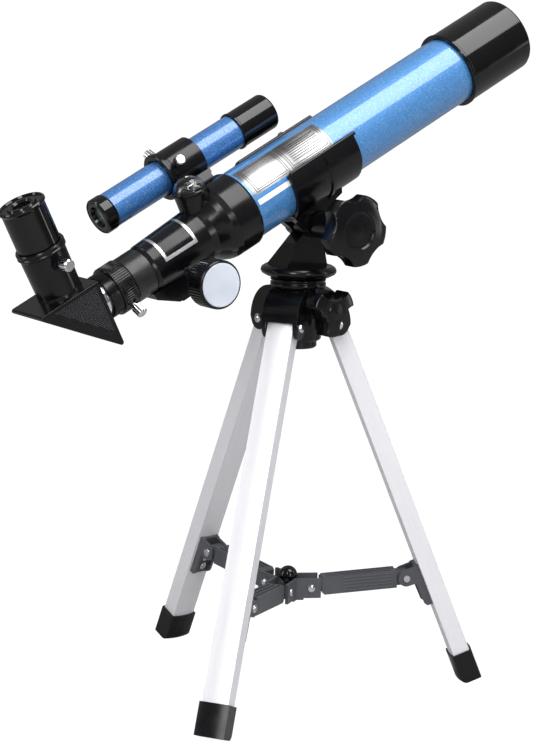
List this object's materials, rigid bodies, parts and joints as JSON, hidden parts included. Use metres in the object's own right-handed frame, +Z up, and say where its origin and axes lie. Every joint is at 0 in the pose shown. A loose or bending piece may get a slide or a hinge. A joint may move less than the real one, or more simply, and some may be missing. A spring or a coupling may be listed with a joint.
{
  "type": "telescope on tripod",
  "caption": "Small refracting telescope with finder scope, compass, rack focuser and star diagonal on a folding aluminium table tripod.",
  "frame": {"origin": "on the ground, centre of the footprint the three feet stand on, under the azimuth axis", "axes": "+Z up along the azimuth axis; +X towards the objective end of the tube; +Y to the finder's side"},
  "size_m": [0.3958, 0.2138, 0.4502],
  "materials": {
    "black_plastic": "satin",
    "gloss_black": "gloss",
    "dark_grey_plastic": "satin",
    "leg_aluminium": "satin anodised",
    "foot_rubber": "matte",
    "steel": "polished",
    "chrome": "polished",
    "blue_paint": "metallic gloss",
    "black_paint": "satin",
    "glass": "coated",
    "clear_dome": "clear",
    "knob_plastic": "semi-gloss",
    "pale_cap": "satin",
    "compass_face": "satin",
    "mirror": "polished"
  },
  "bodies": {
    "tripod_head": {"tripod_hub": "black_plastic", "center_post": "black_plastic", "leg_pivot_screws": "steel"},
    "azimuth_lock": {"azimuth_lock_knob": "black_plastic"},
    "leg_1": {"leg_tube_1": "leg_aluminium", "leg_foot_1": "foot_rubber", "brace_bracket_1": "dark_grey_plastic", "brace_screws_1": "steel"},
    "brace_1": {"brace_arm_1": "dark_grey_plastic"},
    "leg_2": {"leg_tube_2": "leg_aluminium", "leg_foot_2": "foot_rubber", "brace_bracket_2": "dark_grey_plastic", "brace_screws_2": "steel"},
    "brace_2": {"brace_arm_2": "dark_grey_plastic"},
    "leg_3": {"leg_tube_3": "leg_aluminium", "leg_foot_3": "foot_rubber", "brace_bracket_3": "dark_grey_plastic", "brace_screws_3": "steel"},
    "brace_3": {"brace_arm_3": "dark_grey_plastic"},
    "spreader": {"spreader_hub": "dark_grey_plastic", "spreader_ball": "gloss_black", "spreader_rivets": "steel"},
    "azimuth_head": {"yoke": "black_plastic", "altitude_bolt": "steel"},
    "altitude_clamp": {"altitude_knob": "black_plastic"},
    "scope": {"tube_cradle": "black_plastic", "main_tube": "blue_paint", "dew_shield": "gloss_black", "objective_cell": "black_paint", "objective_lens": "glass", "focuser_body": "black_plastic", "pinion_cover": "black_plastic", "compass_base": "black_plastic", "compass_dome": "clear_dome", "finder_bracket": "black_plastic", "finder_tube": "blue_paint", "finder_shade": "gloss_black", "finder_objective": "glass"},
    "compass_needle": {"compass_card": "compass_face"},
    "finder_focus": {"finder_eyepiece": "gloss_black", "finder_eye_lens": "glass"},
    "finder_clamp_1": {"finder_screw_1": "chrome"},
    "finder_clamp_2": {"finder_screw_2": "chrome"},
    "finder_clamp_3": {"finder_screw_3": "chrome"},
    "focus_tube": {"drawtube": "black_paint", "focus_rack": "knob_plastic", "drawtube_collar": "black_plastic"},
    "focus_wheel": {"focus_pinion": "steel", "focus_knob_near": "knob_plastic", "focus_knob_far": "knob_plastic", "focus_knob_caps": "pale_cap"},
    "drawtube_clamp": {"drawtube_screw": "chrome"},
    "diagonal": {"diagonal_body": "black_plastic", "diagonal_side_plates": "knob_plastic", "diagonal_nose": "chrome", "diagonal_mirror": "mirror"},
    "diagonal_clamp": {"diagonal_screw": "chrome"},
    "eyepiece": {"eyepiece_body": "gloss_black", "eyepiece_lenses": "glass"}
  },
  "joints": [
    {"name": "azimuth_lock_turn", "type": "hinge", "parent": "tripod_head", "child": "azimuth_lock", "pos_m": [0, 0, 0.2544], "axis": [0.0523, -0.9986, 0], "continuous": true},
    {"name": "leg_1_fold", "type": "hinge", "parent": "tripod_head", "child": "leg_1", "pos_m": [-0.02072, -0.01345, 0.243], "axis": [0.5446, -0.8387, 0], "range_deg": [0, 19]},
    {"name": "brace_1_fold", "type": "hinge", "parent": "leg_1", "child": "brace_1", "pos_m": [-0.06596, -0.04284, 0.07217], "axis": [0.5446, -0.8387, 0], "range_deg": [0, 74]},
    {"name": "leg_2_fold", "type": "hinge", "parent": "tripod_head", "child": "leg_2", "pos_m": [0.02201, -0.01121, 0.243], "axis": [0.454, 0.891, 0], "range_deg": [0, 19]},
    {"name": "brace_2_fold", "type": "hinge", "parent": "leg_2", "child": "brace_2", "pos_m": [0.07008, -0.03571, 0.07217], "axis": [0.454, 0.891, 0], "range_deg": [0, 74]},
    {"name": "leg_3_fold", "type": "hinge", "parent": "tripod_head", "child": "leg_3", "pos_m": [-0.00129, 0.02467, 0.243], "axis": [-0.9986, -0.0523, 0], "range_deg": [0, 19]},
    {"name": "brace_3_fold", "type": "hinge", "parent": "leg_3", "child": "brace_3", "pos_m": [-0.00412, 0.07855, 0.07217], "axis": [-0.9986, -0.0523, 0], "range_deg": [0, 74]},
    {"name": "spreader_slide", "type": "slide", "parent": "tripod_head", "child": "spreader", "axis": [0, 0, 1], "range_m": [0, 0.064]},
    {"name": "azimuth_turn", "type": "hinge", "parent": "tripod_head", "child": "azimuth_head", "pos_m": [0, 0, 0.263], "axis": [0, 0, 1], "continuous": true},
    {"name": "altitude_knob_turn", "type": "hinge", "parent": "azimuth_head", "child": "altitude_clamp", "pos_m": [0.0062, 0, 0.3074], "axis": [0, -1, 0], "continuous": true},
    {"name": "altitude_tilt", "type": "hinge", "parent": "azimuth_head", "child": "scope", "pos_m": [0.0062, 0, 0.3074], "axis": [0, -1, 0], "range_deg": [-27, 24]},
    {"name": "compass_card_turn", "type": "hinge", "parent": "scope", "child": "compass_needle", "pos_m": [-0.08565, 0, 0.32906], "axis": [-0.309, 0, 0.9511], "continuous": true},
    {"name": "finder_focus_turn", "type": "hinge", "parent": "scope", "child": "finder_focus", "pos_m": [-0.12869, 0.0315, 0.31443], "axis": [0.891, 0, 0.454], "range_deg": [-90, 90]},
    {"name": "finder_screw_1_turn", "type": "hinge", "parent": "scope", "child": "finder_clamp_1", "pos_m": [-0.08354, 0.01851, 0.34585], "axis": [-0.227, -0.866, 0.4455], "continuous": true},
    {"name": "finder_screw_2_turn", "type": "hinge", "parent": "scope", "child": "finder_clamp_2", "pos_m": [-0.07332, 0.0315, 0.3258], "axis": [0.454, 0, -0.891], "continuous": true},
    {"name": "finder_screw_3_turn", "type": "hinge", "parent": "scope", "child": "finder_clamp_3", "pos_m": [-0.08354, 0.04449, 0.34585], "axis": [-0.227, 0.866, 0.4455], "continuous": true},
    {"name": "focus_slide", "type": "slide", "parent": "scope", "child": "focus_tube", "axis": [-0.891, 0, -0.454], "range_m": [0, 0.045]},
    {"name": "focus_knob_turn", "type": "hinge", "parent": "scope", "child": "focus_wheel", "pos_m": [-0.08914, 0, 0.27734], "axis": [0, -1, 0], "range_deg": [0, 645]},
    {"name": "drawtube_screw_turn", "type": "hinge", "parent": "focus_tube", "child": "drawtube_clamp", "pos_m": [-0.1338, -0.01182, 0.26498], "axis": [0.2795, -0.788, -0.5486], "continuous": true},
    {"name": "diagonal_turn", "type": "hinge", "parent": "focus_tube", "child": "diagonal", "pos_m": [-0.14512, 0, 0.26958], "axis": [0.891, 0, 0.454], "range_deg": [-90, 90]},
    {"name": "diagonal_screw_turn", "type": "hinge", "parent": "diagonal", "child": "diagonal_clamp", "pos_m": [-0.18805, -0.018, 0.2926], "axis": [0, -1, 0], "continuous": true},
    {"name": "eyepiece_slide", "type": "slide", "parent": "diagonal", "child": "eyepiece", "axis": [-0.454, 0, 0.891], "range_m": [0, 0.025]}
  ],
  "couplings": [
    {"joint": "leg_2_fold", "follows": "leg_1_fold", "ratio": 1},
    {"joint": "leg_3_fold", "follows": "leg_1_fold", "ratio": 1},
    {"joint": "brace_1_fold", "follows": "leg_1_fold", "ratio": 3.8947},
    {"joint": "brace_2_fold", "follows": "leg_1_fold", "ratio": 3.8947},
    {"joint": "brace_3_fold", "follows": "leg_1_fold", "ratio": 3.8947},
    {"joint": "spreader_slide", "follows": "leg_1_fold", "m_per_rad": 0.193},
    {"joint": "focus_knob_turn", "follows": "focus_slide", "rad_per_m": 250}
  ]
}
